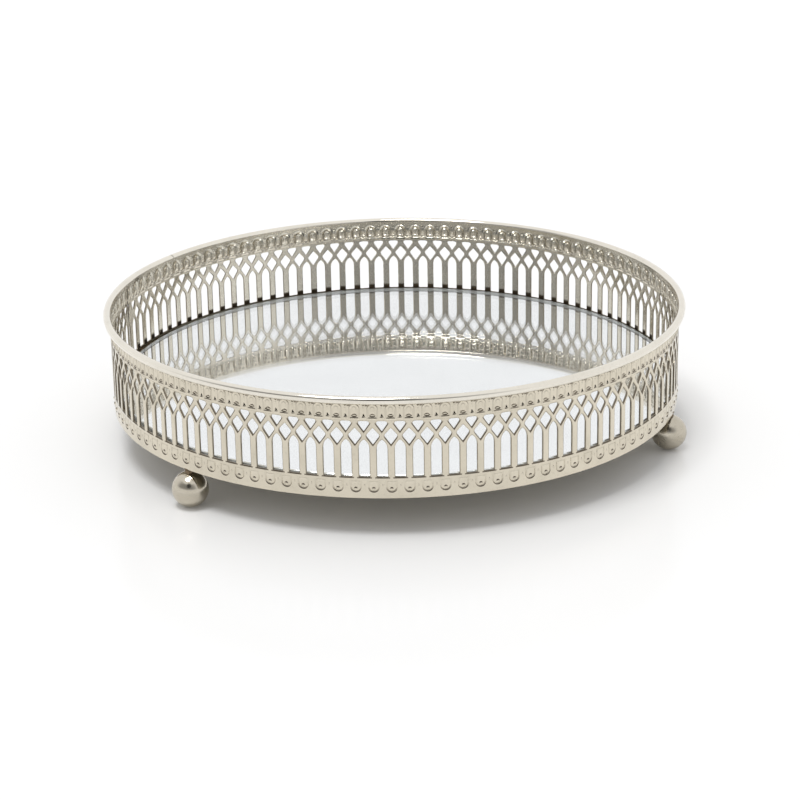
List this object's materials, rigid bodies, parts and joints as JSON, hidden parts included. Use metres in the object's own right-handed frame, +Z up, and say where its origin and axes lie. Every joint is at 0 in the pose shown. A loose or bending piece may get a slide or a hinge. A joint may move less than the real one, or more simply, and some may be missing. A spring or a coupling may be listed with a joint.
{
  "type": "round mirror tray for candles",
  "caption": "Low round mirror tray for candles: a pierced metal gallery of arched windows with a wire rim, standing on ball feet.",
  "frame": {"origin": "on the table under the centre of the tray, where the plane of the three ball feet meets the tray's axis", "axes": "+Z up along the tray's axis, -Y towards the front of the picture, +X to the right"},
  "size_m": [0.3, 0.3, 0.0713],
  "materials": {
    "gallery_nickel": "warm nickel plate on pressed steel, satin with polished high spots",
    "rim_nickel": "warm nickel plate, polished",
    "pan_steel": "warm nickel plate on sheet steel, satin",
    "fibreboard": "raw fibreboard",
    "foam": "white closed-cell foam",
    "mirror": "silvered float glass with a ground edge",
    "foot_nickel": "warm nickel plate, soft polish"
  },
  "bodies": {
    "root": {"gallery_band": "gallery_nickel", "rim_ring": "rim_nickel", "base_pan": "pan_steel", "backing_board": "fibreboard", "mirror_pads": "foam", "mirror_glass": "mirror", "ball_foot_front_left": "foot_nickel", "ball_foot_right": "foot_nickel", "ball_foot_back": "foot_nickel"}
  },
  "joints": []
}
